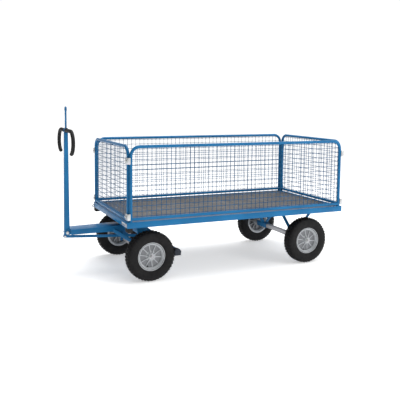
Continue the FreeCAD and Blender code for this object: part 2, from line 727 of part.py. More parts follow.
def wall_mesh(half, plane, swap):
    # welded wire mesh drawn as one flat lattice with a wire along its edge
    edge = half - WALL_TUBE - 0.05
    low = WALL_RAIL_Z + WALL_TUBE + 0.05
    top = WALL_TOP_Z - WALL_TUBE - 0.05
    r = WALL_BEND - WALL_TUBE - 0.05
    t = MESH_WIRE / 2.0
    columns = int(math.ceil(edge / MESH_PITCH))
    rows = int(math.ceil((top - low) / MESH_PITCH))
    if rows % 2 == 0:
        rows = rows + 1
    z_start = (low + top - rows * MESH_PITCH) / 2.0
    inside = arched_outline(edge - t, low + t, top - t, r - t)

    def wire(points):
        corners = [vec(s, -t, z) for s, z in points]
        return Part.makePolygon(corners + corners[:1])
    wires = [wire(arched_outline(edge, low, top, r))]
    for i in range(-columns, columns):
        for k in range(rows):
            s = i * MESH_PITCH + t
            z = z_start + k * MESH_PITCH + t
            side = MESH_PITCH - MESH_WIRE
            cell = clipped([(s, z), (s + side, z), (s + side, z + side), (s, z + side)], inside)
            if len(cell) > 2 and area(cell) > 60.0:
                wires.append(wire(cell))
    panel = Part.makeFace(wires, "Part::FaceMakerBullseye").extrude(vec(0, MESH_WIRE, 0))
    if swap:
        panel.rotate(vec(0, 0, 0), vec(0, 0, 1), 90.0)
        panel.translate(vec(plane, 0, 0))
    else:
        panel.translate(vec(0, plane, 0))
    return panel


CLIP_HEIGHTS = [(507.0, 556.0), (937.0, 986.0)]


def corner_clips():
    # bent straps on the front end wall, at both corners and both heights
    x1 = -END_WALL_X - WALL_TUBE - 0.1
    x2 = x1 - 3.5
    y1 = SIDE_WALL_Y + WALL_TUBE + REST_GAP
    y2 = y1 + 3.5
    points = [(x1, 456.0), (x1, y1), (-977.0, y1), (-977.0, y2), (x2, y2), (x2, 456.0)]
    result = []
    for z0, z1 in CLIP_HEIGHTS:
        result.extend(both_sides(plate_xy(points, z0, z1)))
    return group(result)


def clip_bolts():
    x = -END_WALL_X - WALL_TUBE - 3.6
    result = []
    for z0, z1 in CLIP_HEIGHTS:
        z = (z0 + z1) / 2.0
        washer = rod_x(END_POST_Y, z, x - 2.0, x, 12.0)
        head = hexagon("x", vec(x - 2.0, END_POST_Y, z), 17.0, -7.5)
        result.extend(both_sides(fuse([washer, head])))
    return group(result)


# ---- all nodes -------------------------------------------------------
def build():
    nodes = {}
    nodes["rail_right"] = side_rail()
    nodes["rail_left"] = mirror_y(nodes["rail_right"])
    nodes["rail_front"] = end_rail()
    nodes["rail_rear"] = mirror_x(nodes["rail_front"])
    nodes["cross_members"] = cross_members()
    nodes["deck_board"] = deck_board()
    nodes["deck_screws"] = deck_screws()
    nodes["wall_sockets"] = wall_sockets()
    nodes["corner_buffers"] = corner_buffers()
    nodes["data_plate"] = data_plate()
    nodes["lashing_eye"] = lashing_eye()
    nodes["turntable_upper"] = turntable_upper()
    nodes["king_bolt"] = king_bolt()
    nodes["rear_axle"] = axle(REAR_AXLE_X)
    nodes["rear_axle_sleeves"] = rear_axle_sleeves()
    nodes["rear_axle_nuts"] = axle_nuts(REAR_AXLE_X)
    nodes["rear_struts"] = rear_struts()

    nodes["slide_ring"] = slide_ring()
    nodes["turntable_lower"] = turntable_lower()
    nodes["bogie_beam"] = bogie_beam()
    nodes["bogie_cheeks"] = bogie_cheeks()
    nodes["front_axle"] = axle(FRONT_AXLE_X)
    nodes["front_axle_nuts"] = axle_nuts(FRONT_AXLE_X)
    nodes["tongue"] = tongue()
    nodes["bogie_braces"] = bogie_braces([nodes["tongue"], nodes["bogie_cheeks"]])
    nodes["pivot_bolt"] = pivot_bolt()
    nodes["brake_brackets"] = brake_brackets()

    nodes["brake_shaft"] = brake_shaft()
    nodes["brake_shoes"] = brake_shoes()
    nodes["brake_rod"] = brake_rod()
    nodes["rod_pin"] = rod_pin()

    nodes["drawbar_post"] = drawbar_post()
    nodes["horn_tube"] = horn_tube()
    nodes["grip_left"] = grip(1)
    nodes["grip_right"] = grip(-1)
    nodes["tow_eye"] = tow_eye()

    tyre_shape = tyre()
    rim_shape = rim()
    bearing_shape = bearings()
    for name, x, side in (("front_right", FRONT_AXLE_X, -1), ("front_left", FRONT_AXLE_X, 1),
                          ("rear_right", REAR_AXLE_X, -1), ("rear_left", REAR_AXLE_X, 1)):
        nodes["tyre_" + name] = at_wheel(tyre_shape, x, side)
        nodes["rim_" + name] = at_wheel(rim_shape, x, side)
        nodes["bearings_" + name] = at_wheel(bearing_shape, x, side)

    nodes["frame_right"] = wall_frame(SIDE_POST_X, -SIDE_WALL_Y, False)
    nodes["frame_left"] = mirror_y(nodes["frame_right"])
    nodes["frame_front"] = wall_frame(END_POST_Y, -END_WALL_X, True)
    nodes["frame_rear"] = turned_round(nodes["frame_front"])
    nodes["mesh_right"] = wall_mesh(SIDE_POST_X, -SIDE_WALL_Y, False)
    nodes["mesh_left"] = mirror_y(nodes["mesh_right"])
    nodes["mesh_front"] = wall_mesh(END_POST_Y, -END_WALL_X, True)
    nodes["mesh_rear"] = mirror_x(nodes["mesh_front"])
    nodes["clips_front"] = corner_clips()
    nodes["clips_rear"] = mirror_x(nodes["clips_front"])
    nodes["clip_bolts_front"] = clip_bolts()
    nodes["clip_bolts_rear"] = mirror_x(nodes["clip_bolts_front"])
    return nodes


def main():
    os.makedirs("parts", exist_ok=True)
    low = [1e9, 1e9, 1e9]
    high = [-1e9, -1e9, -1e9]
    nodes = build()
    for name, shape in nodes.items():
        placed = shape.copy()
        placed.translate(vec(X_SHIFT, 0, 0))
        placed.exportStep("parts/" + name + ".step")
        b = placed.BoundBox
        for k, value in enumerate((b.XMin, b.YMin, b.ZMin)):
            low[k] = min(low[k], value)
        for k, value in enumerate((b.XMax, b.YMax, b.ZMax)):
            high[k] = max(high[k], value)
        print(name, len(placed.Solids), placed.isValid(), round(placed.Volume))
    print(len(nodes), "nodes", [round(v, 2) for v in low], [round(v, 2) for v in high])


main()
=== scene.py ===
import json
import math
import random

import bmesh
import bpy
from mathutils import Matrix, Vector


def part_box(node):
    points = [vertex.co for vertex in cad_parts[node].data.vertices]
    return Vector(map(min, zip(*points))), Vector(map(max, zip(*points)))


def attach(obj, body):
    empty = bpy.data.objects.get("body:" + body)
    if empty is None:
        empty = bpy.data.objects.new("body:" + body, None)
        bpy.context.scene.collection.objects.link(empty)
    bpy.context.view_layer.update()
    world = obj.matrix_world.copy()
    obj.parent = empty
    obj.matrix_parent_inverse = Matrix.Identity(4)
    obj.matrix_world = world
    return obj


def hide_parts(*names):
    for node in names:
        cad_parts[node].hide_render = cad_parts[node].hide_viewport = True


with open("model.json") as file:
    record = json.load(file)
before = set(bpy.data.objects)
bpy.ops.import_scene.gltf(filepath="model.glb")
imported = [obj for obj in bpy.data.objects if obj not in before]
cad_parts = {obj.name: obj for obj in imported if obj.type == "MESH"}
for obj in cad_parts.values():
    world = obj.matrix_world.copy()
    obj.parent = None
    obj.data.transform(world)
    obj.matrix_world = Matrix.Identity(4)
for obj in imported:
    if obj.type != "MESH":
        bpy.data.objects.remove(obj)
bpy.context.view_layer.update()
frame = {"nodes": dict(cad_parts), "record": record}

# Hand platform wagon: painted steel platform, turntable bogie, drawbar with
# horn grips, four pneumatic wheels and four lift-out mesh walls.
# Metres, in the frame of the CAD model. The drawbar is at -X.

MM = 0.001
X = Vector((1, 0, 0))
Y = Vector((0, 1, 0))
Z = Vector((0, 0, 1))
WHEELS = {"front_right": -1, "front_left": 1, "rear_right": -1, "rear_left": 1}
WALLS = ("right", "left", "front", "rear")


# ---- camera ----------------------------------------------------------
def make_camera():
    place = Vector((-2.187, -4.752, 1.439))
    yaw, pitch, roll = math.radians(23.55), math.radians(5.17), math.radians(0.49)
    ahead = Vector((math.sin(yaw) * math.cos(pitch), math.cos(yaw) * math.cos(pitch), -math.sin(pitch)))
    level = Vector((math.cos(yaw), -math.sin(yaw), 0))
    rise = level.cross(ahead)
    right = level * math.cos(roll) + rise * math.sin(roll)
    up = rise * math.cos(roll) - level * math.sin(roll)
    data = bpy.data.cameras.new("camera")
    data.lens = 53.47
    data.sensor_width = 36
    data.shift_x = 0.035
    data.shift_y = -0.12
    data.clip_end = 1000
    camera = bpy.data.objects.new("camera", data)
    bpy.context.scene.collection.objects.link(camera)
    turn = Matrix((right, up, -ahead)).transposed().to_4x4()
    camera.matrix_world = Matrix.Translation(place) @ turn
    bpy.context.scene.camera = camera


make_camera()
bpy.context.scene.view_settings.view_transform = "Standard"


# ---- materials -------------------------------------------------------
class Finish:
    """One node material, built up socket by socket."""

    def __init__(self, name, roughness=0.5, metallic=0.0):
        self.material = bpy.data.materials.new(name)
        self.material.use_nodes = True
        self.tree = self.material.node_tree
        self.shader = self.tree.nodes["Principled BSDF"]
        self.shader.inputs["Roughness"].default_value = roughness
        self.shader.inputs["Metallic"].default_value = metallic
        self.where = self.tree.nodes.new("ShaderNodeTexCoord").outputs["Object"]

    def set(self, socket, value):
        self.shader.inputs[socket].default_value = value

    def link(self, output, socket):
        self.tree.links.new(output, self.shader.inputs[socket])

    def stretched(self, scale, turn=(0, 0, 0)):
        node = self.tree.nodes.new("ShaderNodeMapping")
        node.inputs["Scale"].default_value = scale
        node.inputs["Rotation"].default_value = turn
        self.tree.links.new(self.where, node.inputs["Vector"])
        return node.outputs["Vector"]

    def noise(self, scale, detail=4.0, roughness=0.55, vector=None):
        node = self.tree.nodes.new("ShaderNodeTexNoise")
        node.inputs["Scale"].default_value = scale
        node.inputs["Detail"].default_value = detail
        node.inputs["Roughness"].default_value = roughness
        self.tree.links.new(vector or self.where, node.inputs["Vector"])
        return node.outputs["Fac"]

    def cells(self, scale, feature="F1", output="Color", vector=None):
        node = self.tree.nodes.new("ShaderNodeTexVoronoi")
        node.feature = feature
        node.inputs["Scale"].default_value = scale
        self.tree.links.new(vector or self.where, node.inputs["Vector"])
        return node.outputs[output]

    def ramp(self, value, stops):
        node = self.tree.nodes.new("ShaderNodeValToRGB")
        elements = node.color_ramp.elements
        while len(elements) < len(stops):
            elements.new(0.5)
        for element, (position, colour) in zip(elements, stops):
            element.position = position
            rgb = colour if isinstance(colour, tuple) else (colour, colour, colour)
            element.color = (*rgb, 1)
        self.tree.links.new(value, node.inputs["Fac"])
        return node.outputs["Color"]

    def grade(self, value, low, high, to_low, to_high):
        node = self.tree.nodes.new("ShaderNodeMapRange")
        limits = {"From Min": low, "From Max": high, "To Min": to_low, "To Max": to_high}
        for socket, number in limits.items():
            node.inputs[socket].default_value = number
        self.tree.links.new(value, node.inputs["Value"])
        return node.outputs["Result"]

    def mix(self, share, first, second, blend="MIX"):
        node = self.tree.nodes.new("ShaderNodeMix")
        node.data_type = "RGBA"
        node.blend_type = blend
        for socket, value in ((0, share), (6, first), (7, second)):
            if isinstance(value, (int, float)):
                node.inputs[socket].default_value = value
            elif isinstance(value, tuple):
                node.inputs[socket].default_value = (*value, 1)
            else:
                self.tree.links.new(value, node.inputs[socket])
        return node.outputs[2]

    def maths(self, operation, first, second=0.0):
        node = self.tree.nodes.new("ShaderNodeMath")
        node.operation = operation
        for socket, value in ((0, first), (1, second)):
            if isinstance(value, (int, float)):
                node.inputs[socket].default_value = value
            else:
                self.tree.links.new(value, node.inputs[socket])
        return node.outputs["Value"]

    def axis(self, letter, vector=None):
        node = self.tree.nodes.new("ShaderNodeSeparateXYZ")
        self.tree.links.new(vector or self.where, node.inputs["Vector"])
        return node.outputs[letter]

    def bump(self, height, strength, distance, under=None):
        node = self.tree.nodes.new("ShaderNodeBump")
        node.inputs["Strength"].default_value = strength
        node.inputs["Distance"].default_value = distance
        self.tree.links.new(height, node.inputs["Height"])
        if under is not None:
            self.tree.links.new(under, node.inputs["Normal"])
        self.link(node.outputs["Normal"], "Normal")
        return node.outputs["Normal"]


def enamel(name, light, deep, dust=0.10):
    # sprayed enamel: slight tone drift, orange peel, fine scuffs, dust low down
    f = Finish(name, 0.34)
    tone = f.ramp(f.noise(3.1, 3), [(0.34, deep), (0.66, light)])
    scuff = f.ramp(f.noise(46, 6, 0.7, f.stretched((0.25, 1, 1))), [(0.66, 0.0), (0.74, 1.0)])
    worn = f.mix(f.maths("MULTIPLY", scuff, 0.12), tone, (0.10, 0.20, 0.30))
    low = f.grade(f.axis("Z"), 0.46, 0.06, 0.0, dust)
    grime = f.maths("MULTIPLY", low, f.noise(9, 5, 0.65))
    f.link(f.mix(grime, worn, (0.10, 0.11, 0.12)), "Base Color")
    f.link(f.grade(f.noise(14, 4), 0.3, 0.7, 0.27, 0.42), "Roughness")
    f.set("Specular IOR Level", 0.13)
    f.set("Coat Weight", 0.06)
    f.set("Coat Roughness", 0.08)
    peel = f.bump(f.noise(420, 2), 0.10, 0.0004)
    f.bump(scuff, 0.12, 0.0002, peel)
    return f.material


def zinc(name, tint=(0.58, 0.59, 0.60)):
    # bright zinc plate: soft spangle and handling marks
    f = Finish(name, 0.34, 1.0)
    spangle = f.cells(240)
    grey = f.mix(0.16, tint, spangle, "MULTIPLY")
    marks = f.ramp(f.noise(60, 5), [(0.45, 0.0), (0.8, 0.35)])
    f.link(f.mix(marks, grey, (0.42, 0.43, 0.45)), "Base Color")
    f.link(f.grade(f.noise(90, 4), 0.3, 0.7, 0.26, 0.46), "Roughness")
    f.bump(f.noise(300, 3), 0.12, 0.0003)
    return f.material


def drawn_steel(name):
    # bare drawn bar: long fine lines along Y, oil stains
    f = Finish(name, 0.38, 0.9)
    lines = f.noise(160, 5, 0.7, f.stretched((1, 0.03, 1)))
    base = f.ramp(lines, [(0.3, (0.30, 0.30, 0.32)), (0.7, (0.46, 0.46, 0.48))])
    oil = f.ramp(f.noise(11, 5), [(0.5, 0.0), (0.75, 0.55)])
    f.link(f.mix(oil, base, (0.16, 0.13, 0.11)), "Base Color")
    f.link(f.grade(lines, 0.3, 0.7, 0.30, 0.50), "Roughness")
    f.bump(lines, 0.15, 0.0003)
    return f.material


def deck_film(name):
    # brown-grey phenolic film with a pressed mesh pattern; ply layers at the edge
    f = Finish(name, 0.55)
    fine = f.stretched((1, 1, 0.001))
    pressed = f.cells(230, "DISTANCE_TO_EDGE", "Distance", fine)
    ridge = f.ramp(pressed, [(0.02, 1.0), (0.14, 0.0)])
    tone = f.ramp(f.noise(2.6, 5, 0.6), [(0.3, (0.046, 0.043, 0.041)), (0.7, (0.084, 0.079, 0.075))])
    wear = f.ramp(f.noise(7, 7, 0.7, f.stretched((0.35, 1, 1))), [(0.56, 0.0), (0.70, 1.0)])
    worn = f.mix(f.maths("MULTIPLY", wear, 0.30), tone, (0.14, 0.128, 0.116))
    film = f.mix(f.maths("MULTIPLY", ridge, 0.25), worn, (0.035, 0.033, 0.032))
    layer = f.maths("FRACT", f.maths("MULTIPLY", f.axis("Z"), 420))
    ply = f.ramp(layer, [(0.4, (0.30, 0.20, 0.12)), (0.6, (0.16, 0.10, 0.06))])
    normal = f.tree.nodes.new("ShaderNodeNewGeometry").outputs["Normal"]
    flat = f.ramp(f.maths("ABSOLUTE", f.axis("Z", normal)), [(0.4, 0.0), (0.6, 1.0)])
    f.link(f.mix(flat, ply, film), "Base Color")
    f.link(f.grade(f.noise(30, 5), 0.3, 0.7, 0.45, 0.68), "Roughness")
    grain = f.bump(ridge, 0.45, 0.0006)
    f.bump(f.noise(160, 4), 0.15, 0.0005, grain)
    return f.material


def rubber(name, base, worn, scale=1.0, roughness=0.72):
    # moulded rubber: mottled bloom and a fine skin
    f = Finish(name, roughness)
    bloom = f.ramp(f.noise(26 * scale, 6, 0.65), [(0.35, base), (0.75, worn)])
    f.link(bloom, "Base Color")
    f.link(f.grade(f.noise(70 * scale, 4), 0.3, 0.7, roughness - 0.10, roughness + 0.10), "Roughness")
    f.set("Specular IOR Level", 0.35)
    f.bump(f.noise(700 * scale, 3), 0.22, 0.0004)
    return f.material


def tyre_rubber(name):
    # black tyre: grey bloom on the sides, dust in the tread
    f = Finish(name, 0.7)
    side = f.ramp(f.noise(18, 6, 0.6), [(0.3, (0.004, 0.004, 0.005)), (0.75, (0.010, 0.0095, 0.0095))])
    dust = f.ramp(f.noise(60, 6, 0.7), [(0.5, 0.0), (0.78, 1.0)])
    f.link(f.mix(f.maths("MULTIPLY", dust, 0.18), side, (0.040, 0.036, 0.032)), "Base Color")
    f.link(f.grade(f.noise(40, 4), 0.3, 0.7, 0.58, 0.80), "Roughness")
    f.set("Specular IOR Level", 0.22)
    f.bump(f.noise(500, 3), 0.25, 0.0005)
    return f.material


def silver_paint(name):
    # silver wheel paint: fine flake, blotchy road dust, and painted shade darkening the dish between the
    # ribs
    f = Finish(name, 0.40, 0.35)
    flake = f.cells(900)
    base = f.mix(0.08, (0.47, 0.49, 0.51), flake, "MULTIPLY")
    dirt = f.ramp(f.noise(34, 6, 0.65), [(0.50, 0.0), (0.80, 0.4)])
    shade = f.tree.nodes.new("ShaderNodeAttribute")
    shade.attribute_name = "dish"
    # painted shade: the marked dish between the ribs is mixed towards dark grey
    dish_painted_shade = f.mix(f.maths("MULTIPLY", shade.outputs["Fac"], 0.85), base, (0.13, 0.135, 0.145))
    f.link(f.mix(dirt, dish_painted_shade, (0.20, 0.20, 0.205)), "Base Color")
    f.link(f.grade(f.noise(50, 4), 0.3, 0.7, 0.34, 0.52), "Roughness")
    f.bump(f.noise(260, 3), 0.10, 0.0003)
    return f.material


def cast_shoe_painted_shade(name):
    # painted casting: dark navy standing for the blue paint in shade (painted shade), rough sand-cast
    # skin
    f = Finish(name, 0.62, 0.3)
    # painted shade: the colour is the blue enamel as it looks in shade
    shaded_navy = f.ramp(f.noise(55, 7, 0.7), [(0.35, (0.012, 0.018, 0.030)), (0.72, (0.030, 0.036, 0.048))])
    f.link(shaded_navy, "Base Color")
    f.link(f.grade(f.noise(80, 4), 0.3, 0.7, 0.52, 0.74), "Roughness")
    f.bump(f.noise(330, 5), 0.5, 0.0008)
    return f.material


def polymer(name):
    # cream bearing plastic
    f = Finish(name, 0.5)
    f.link(f.ramp(f.noise(40, 5), [(0.35, (0.62, 0.60, 0.54)), (0.7, (0.74, 0.72, 0.66))]), "Base Color")
    f.link(f.grade(f.noise(60, 3), 0.3, 0.7, 0.42, 0.58), "Roughness")
    f.bump(f.noise(500, 2), 0.1, 0.0002)
    return f.material


FINISHES = {
    "blue_paint": enamel("blue_enamel", (0.014, 0.162, 0.370), (0.009, 0.125, 0.295)),
    "mesh_paint": enamel("wire_enamel", (0.010, 0.105, 0.245), (0.007, 0.078, 0.190), 0.0),
    "zinc": zinc("bright_zinc"),
    "bare_steel": drawn_steel("drawn_steel"),
    "deck": deck_film("deck_film"),
    "tyre_rubber": tyre_rubber("tyre_black"),
    "black_rubber": rubber("grip_black", (0.004, 0.004, 0.0045), (0.012, 0.012, 0.013)),
    "rim_paint": silver_paint("wheel_silver"),
    # the brake shoes get painted shade: a dark navy copy of the blue paint
    "cast_shoe": cast_shoe_painted_shade("shoe_painted_shade"),
    "polymer": polymer("slide_polymer"),
}
SLOT_OF = {entry["node"]: entry["material_slot"] for entry in frame["record"]["subparts"]}
BODY_OF = {node: body for body, nodes in frame["record"]["behaviour"]["bodies"].items() for node in nodes}


# ---- making pieces ---------------------------------------------------
def finish_piece(name, bm, slot, body, nodes=(), sharp=38.0):
    bmesh.ops.remove_doubles(bm, verts=bm.verts, dist=1e-6)
    mesh = bpy.data.meshes.new(name)
    bm.to_mesh(mesh)
    bm.free()
    mesh.shade_smooth()
    mesh.set_sharp_from_angle(angle=math.radians(sharp))
    # marks the wheel dish for its painted shade
    if slot == "rim_paint":
        paint_dish_shade(mesh)
    piece = bpy.data.objects.new(name, mesh)
    bpy.context.scene.collection.objects.link(piece)
    mesh.materials.append(FINISHES[slot])
    if nodes:
        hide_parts(*nodes)
    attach(piece, body)
    return piece


def paint_dish_shade(mesh):
    """Tells the wheel paint where the dish lies deep between its ribs, so that it is darkened there as
    painted shade.
    """
    low = Vector([min(v.co[k] for v in mesh.vertices) for k in range(3)])
    high = Vector([max(v.co[k] for v in mesh.vertices) for k in range(3)])
    centre = (low + high) / 2
    side = math.copysign(1, centre.y)
    marks = mesh.attributes.new("dish", "FLOAT", "POINT")
    for v in mesh.vertices:
        r = math.hypot(v.co.x - centre.x, v.co.z - centre.z)
        depth = (v.co.y - centre.y) * side
        marks.data[v.index].value = 1.0 if 0.030 < r < 0.0925 and 0.0085 < depth < 0.0192 else 0.0


def outward(bm):
    bmesh.ops.remove_doubles(bm, verts=bm.verts, dist=1e-6)
    bmesh.ops.recalc_face_normals(bm, faces=bm.faces)


def round_edges(bm, width, segments=2, angle=30.0):
    edges = [e for e in bm.edges if len(e.link_faces) == 2 and e.calc_face_angle(0) > math.radians(angle)]
    bmesh.ops.bevel(bm, geom=edges, offset=width, offset_type="OFFSET", affect="EDGES", segments=segments,
                    profile=0.5, material=-1, clamp_overlap=True)


def softened(node, width=0.0008, segments=2, angle=30.0):
    """A copy of a CAD piece with its flat faces merged and its edges broken."""
    source = frame["nodes"][node]
    bm = bmesh.new()
    bm.from_mesh(source.data)
    bmesh.ops.remove_doubles(bm, verts=bm.verts, dist=2e-6)
    bmesh.ops.dissolve_limit(bm, angle_limit=math.radians(0.6), verts=bm.verts, edges=bm.edges)
    round_edges(bm, width, segments, angle)
    bmesh.ops.triangulate(bm, faces=[f for f in bm.faces if len(f.verts) > 4])
    return finish_piece(node + "_shape", bm, SLOT_OF[node], BODY_OF[node], [node])


def ring_of_points(bm, centre, axis, radius, sides):
    turn = Z.rotation_difference(axis).to_matrix().to_4x4()
    place = Matrix.Translation(centre) @ turn
    return bmesh.ops.create_circle(bm, segments=sides, radius=radius, matrix=place)["verts"]


def edges_between(verts):
    inside = set(verts)
    return [e for e in {e for v in verts for e in v.link_edges} if all(v in inside for v in e.verts)]


def go(bm, verts, step):
    made = bmesh.ops.extrude_edge_only(bm, edges=edges_between(verts))["geom"]
    moved = [g for g in made if isinstance(g, bmesh.types.BMVert)]
    bmesh.ops.translate(bm, verts=moved, vec=step)
    return moved


def turn(bm, verts, centre, axis, angle, steps):
    section = verts + edges_between(verts)
    made = bmesh.ops.spin(bm, geom=section, cent=centre, axis=axis, angle=angle, steps=steps)
    return [g for g in made["geom_last"] if isinstance(g, bmesh.types.BMVert)]


def closed_end(bm, verts):
    bmesh.ops.contextual_create(bm, geom=edges_between(verts))


def turned(bm, profile, centre, axis, across, steps=64):
    """Spins a closed profile, given as (distance from the axis, place along it)."""
    verts = [bm.verts.new(centre + across * r + axis * a) for r, a in profile]
    edges = [bm.edges.new((verts[k - 1], verts[k])) for k in range(len(verts))]
    bmesh.ops.spin(bm, geom=verts + edges, cent=centre, axis=axis, angle=2 * math.pi,
                   steps=steps, use_merge=True)


def scaled(profile):
    """Millimetres to metres."""
    return [(r * MM, a * MM) for r, a in profile]


def block(bm, low, high):
    size = high - low
    place = Matrix.Translation((low + high) / 2) @ Matrix.Diagonal((*size, 1))
    return bmesh.ops.create_cube(bm, size=1.0, matrix=place)["verts"]


def bead(name, paths, radius, body, closed=True):
    """Weld beads: lumpy little rods laid along the given paths."""
    rng = random.Random(name)
    data = bpy.data.curves.new(name, "CURVE")
    data.dimensions = "3D"
    data.bevel_depth = radius
    data.bevel_resolution = 1
    for path in paths:
        spline = data.splines.new("POLY")
        spline.points.add(len(path) - 1)
        spline.use_cyclic_u = closed
        for point, place in zip(spline.points, path):
            point.co = (*place, 1)
            point.radius = rng.uniform(0.75, 1.15)
    curve = bpy.data.objects.new(name + "_line", data)
    bpy.context.scene.collection.objects.link(curve)
    data.use_fill_caps = True
    mesh = bpy.data.meshes.new_from_object(curve.evaluated_get(bpy.context.evaluated_depsgraph_get()))
    bpy.data.objects.remove(curve)
    bm = bmesh.new()
    bm.from_mesh(mesh)
    return finish_piece(name, bm, "blue_paint", body, sharp=60)


def seam(start, stop, pitch=0.004):
    count = max(2, int((stop - start).length / pitch))
    return [start.lerp(stop, k / count) for k in range(count + 1)]


def around(centre, axis, radius, count=28):
    first = axis.orthogonal().normalized() * radius
    return [centre + Matrix.Rotation(2 * math.pi * k / count, 3, axis) @ first for k in range(count)]


# ---- wheels ----------------------------------------------------------
LUGS = 44
LUG_DEPTH = 5
RIBS = 10
RIB_THICK = 6.4 * MM
VALVE_REACH = 84 * MM
VALVE_TURN = math.radians(110)


def wheel_centre(name):
    low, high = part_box("tyre_" + name)
    return (low + high) / 2


def tyre_profile():
    half = [(101.6, 36.2), (106, 39.2), (112, 40.6), (118, 40.4), (121, 42.6), (130, 45.8),
            (142, 48.6), (154, 49.9), (164, 49.9), (171, 48.9), (173, 47.9), (175, 48.2),
            (181, 45.6), (187, 41.0), (191, 34), (192.5, 22), (193, 0)]
    inside = [(188, 0), (186, 24), (178, 36), (160, 43), (138, 42), (120, 36), (111, 30), (101.6, 26)]
    points = half + [(r, -a) for r, a in half[-2::-1]] + [(r, -a) for r, a in inside[::-1]] + inside[1:]
    return scaled(points)


def tread_blocks(bm, centre):
    """Three kinds of lug: staggered shoulder lugs and two rows in the middle."""
    # place across the tread, width, length, shift in pitches, radius of the top
    rows = ((8.5, 14.0, 9.5, 0.0, 199.6), (-8.5, 14.0, 9.5, 0.5, 199.6),
            (26.0, 17.0, 10.5, 0.25, 198.4), (-26.0, 17.0, 10.5, 0.75, 198.4),
            (41.5, 11.0, 9.0, 0.75, 191.6), (-41.5, 11.0, 9.0, 0.25, 191.6))
    for offset, width, length, shift, top in rows:
        lean = 0.5 * math.copysign(1, offset) if abs(offset) > 35 else 0.0
        low = Vector((-length / 2, -width / 2, -LUG_DEPTH)) * MM
        high = Vector((length / 2, width / 2, 0)) * MM
        seat = Matrix.Translation(Vector((0, offset, top)) * MM)
        for k in range(LUGS):
            spin = Matrix.Rotation(2 * math.pi * (k + shift) / LUGS, 4, "Y")
            made = block(bm, low, high)
            upper = [v for v in made if v.co.z > -1e-6]
            bmesh.ops.scale(bm, verts=upper, vec=(0.84, 0.88, 1))
            slant = Matrix.Rotation(math.copysign(0.18, offset), 4, "Z")
            tip = Matrix.Rotation(-lean, 4, "X")
            place = Matrix.Translation(centre) @ spin @ seat
            bmesh.ops.transform(bm, matrix=place @ tip @ slant, verts=made)


def make_tyre(name, side):
    centre = wheel_centre(name)
    bm = bmesh.new()
    turned(bm, tyre_profile(), centre, Y, X, 96)
    outward(bm)
    tread_blocks(bm, centre)
    stem_turn = Matrix.Translation(centre) @ Matrix.Rotation(VALVE_TURN, 4, "Y")
    stem = bmesh.new()
    valve = ((0.01, 10), (5.2, 10), (5.2, 15), (3.9, 17), (3.9, 27), (3.2, 28), (3.2, 33), (0.01, 33.5))
    turned(stem, scaled(valve), Vector((VALVE_REACH, 0, 0)), Y * side, X, 14)
    outward(stem)
    bmesh.ops.transform(stem, matrix=stem_turn, verts=stem.verts)
    joined = bpy.data.meshes.new("stem")
    stem.to_mesh(joined)
    stem.free()
    bm.from_mesh(joined)
    body = "wheel_" + name
    finish_piece("tyre_" + name + "_tread", bm, "tyre_rubber", body, ["tyre_" + name], 34)


def make_rim(name, side):
    centre = wheel_centre(name)
    out = Y * side
    bm = bmesh.new()
    barrel = [(113.0, 39.2), (112.6, 40.6), (111.0, 41.2), (108.6, 40.6), (106.4, 38.6), (103.6, 37.6),
              (98.8, 37.2), (98.6, 28.5), (96.5, 25.4), (90.4, 22.4), (90.0, 16), (90.0, -22.4),
              (96.5, -25.4), (98.6, -28.5), (98.8, -38.2), (106.4, -39.6), (111.0, -41.2), (113.0, -39.2),
              (112.6, -36.6), (104.5, -36.2), (101.4, -34.8), (101.4, -27), (93, -20.5),
              (93, 20.5), (101.4, 27), (101.4, 34.8), (104.5, 36.2), (112.6, 36.6)]
    turned(bm, scaled(barrel), centre, out, X, 96)
    outward(bm)
    dish = [(25.6, 17.4), (32, 19.4), (46, 18.6), (72, 15.2), (86, 14.0), (91.0, 15.6),
            (91.0, 10.0), (86, 9.6), (72, 10.6), (46, 14.2), (32, 14.4), (25.6, 12.4)]
    disc = bmesh.new()
    turned(disc, scaled(dish), centre, out, X, 96)
    outward(disc)
    hub = [(20.2, 36.9), (21.0, 37.5), (25.2, 37.5), (26.0, 36.7),
           (26.0, -36.7), (25.2, -37.5), (21.0, -37.5), (20.2, -36.9)]
    turned(disc, scaled(hub), centre, out, X, 64)
    outer_rib = [(25.2, 15), (25.2, 31.5), (30, 30.2), (58, 22.2),
                 (80, 19.6), (90.2, 21.0), (90.2, 12), (58, 14)]
    inner_rib = [(25.2, 13), (25.2, -15.5), (30, -14.2), (58, -5.2),
                 (80, -1.6), (90.2, -2.0), (90.2, 11), (58, 12)]
    for k in range(RIBS):
        for rib in (outer_rib, inner_rib):
            one = bmesh.new()
            low_side = centre - Z * RIB_THICK / 2
            verts = [one.verts.new(low_side + X * r + out * a) for r, a in scaled(rib)]
            made = bmesh.ops.extrude_face_region(one, geom=[one.faces.new(verts)])["geom"]
            far_side = [g for g in made if isinstance(g, bmesh.types.BMVert)]
            bmesh.ops.translate(one, verts=far_side, vec=Z * RIB_THICK)
            bmesh.ops.recalc_face_normals(one, faces=one.faces)
            round_edges(one, 1.2 * MM, 2, 60)
            spin = Matrix.Rotation(2 * math.pi * (k + 0.25) / RIBS, 4, "Y")
            about = Matrix.Translation(centre) @ spin @ Matrix.Translation(-centre)
            bmesh.ops.transform(one, matrix=about, verts=one.verts)
            step = bpy.data.meshes.new("rib")
            one.to_mesh(step)
            one.free()
            disc.from_mesh(step)
    bmesh.ops.recalc_face_normals(disc, faces=disc.faces)
    joined = bpy.data.meshes.new("dish")
    disc.to_mesh(joined)
    disc.free()
    bm.from_mesh(joined)
    finish_piece("rim_" + name + "_shape", bm, "rim_paint", "wheel_" + name, ["rim_" + name], 34)


